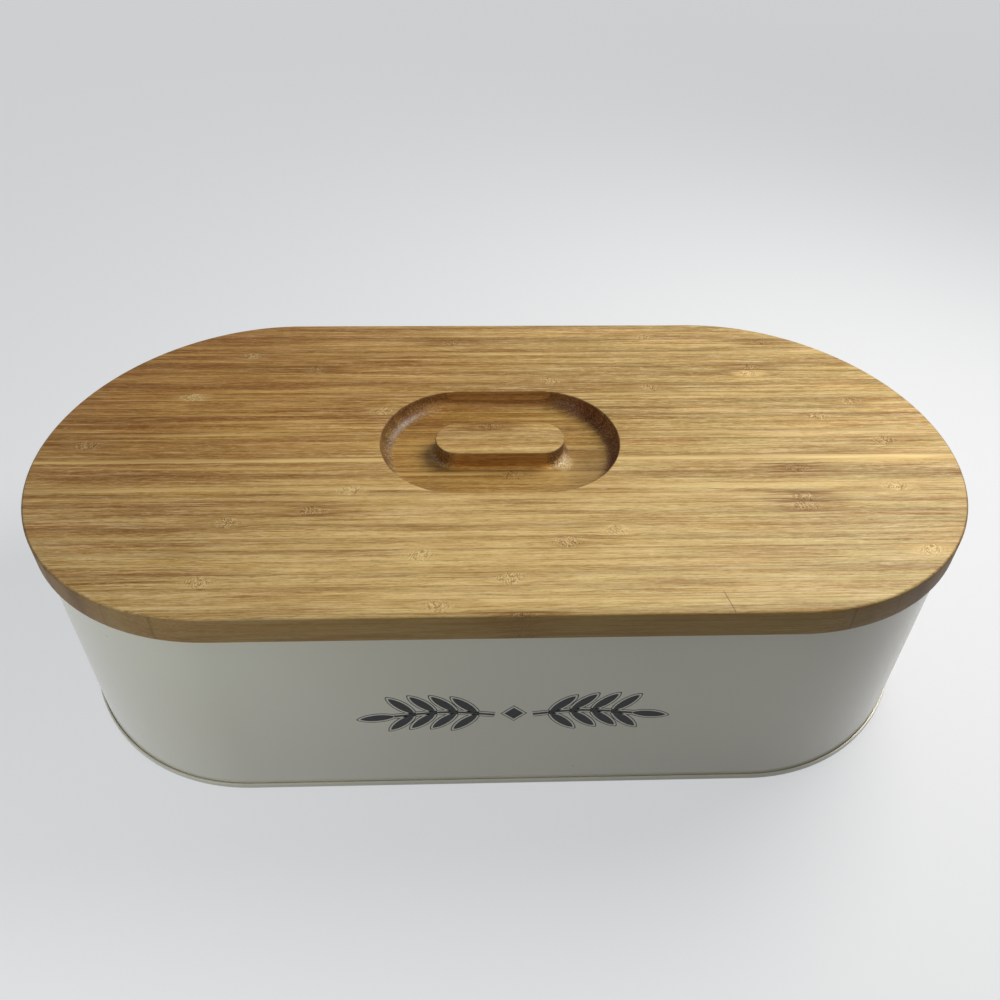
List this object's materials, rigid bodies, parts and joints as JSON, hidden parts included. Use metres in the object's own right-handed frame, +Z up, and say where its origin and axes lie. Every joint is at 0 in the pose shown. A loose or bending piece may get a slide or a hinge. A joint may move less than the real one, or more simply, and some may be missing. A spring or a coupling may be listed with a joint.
{
  "type": "bread box",
  "caption": "Round-ended enamelled sheet-steel bread bin with a lift-off bamboo lid that has a routed finger recess and grip.",
  "frame": {"origin": "on the table under the middle of the bin", "axes": "+X along the length, -Y towards the front, +Z up"},
  "size_m": [0.43, 0.204, 0.12],
  "materials": {
    "enamel": "gloss",
    "bamboo": "satin"
  },
  "bodies": {
    "bin": {"bin_wall": "enamel", "base_pan": "enamel"},
    "lid": {"lid_strip_front": "bamboo", "lid_strip_01": "bamboo", "lid_strip_02": "bamboo", "lid_strip_03": "bamboo", "lid_strip_04": "bamboo", "lid_strip_05": "bamboo", "lid_strip_06": "bamboo", "lid_strip_07": "bamboo", "lid_strip_08": "bamboo", "lid_strip_09": "bamboo", "lid_strip_10": "bamboo", "lid_strip_11": "bamboo", "lid_strip_12": "bamboo", "lid_strip_13": "bamboo", "lid_strip_14": "bamboo", "lid_strip_15": "bamboo", "lid_strip_16": "bamboo", "lid_strip_17": "bamboo", "lid_strip_18": "bamboo", "lid_strip_19": "bamboo", "lid_strip_20": "bamboo", "lid_strip_21": "bamboo", "lid_strip_22": "bamboo", "lid_strip_23": "bamboo", "lid_strip_24": "bamboo", "lid_strip_25": "bamboo", "lid_strip_26": "bamboo", "lid_strip_27": "bamboo", "lid_strip_28": "bamboo", "lid_strip_29": "bamboo", "lid_strip_30": "bamboo", "lid_strip_31": "bamboo", "lid_strip_32": "bamboo", "lid_strip_back": "bamboo"}
  },
  "joints": [
    {"name": "lid_lift", "type": "slide", "parent": "bin", "child": "lid", "axis": [0, 0, 1], "range_m": [0, 0.15]}
  ]
}
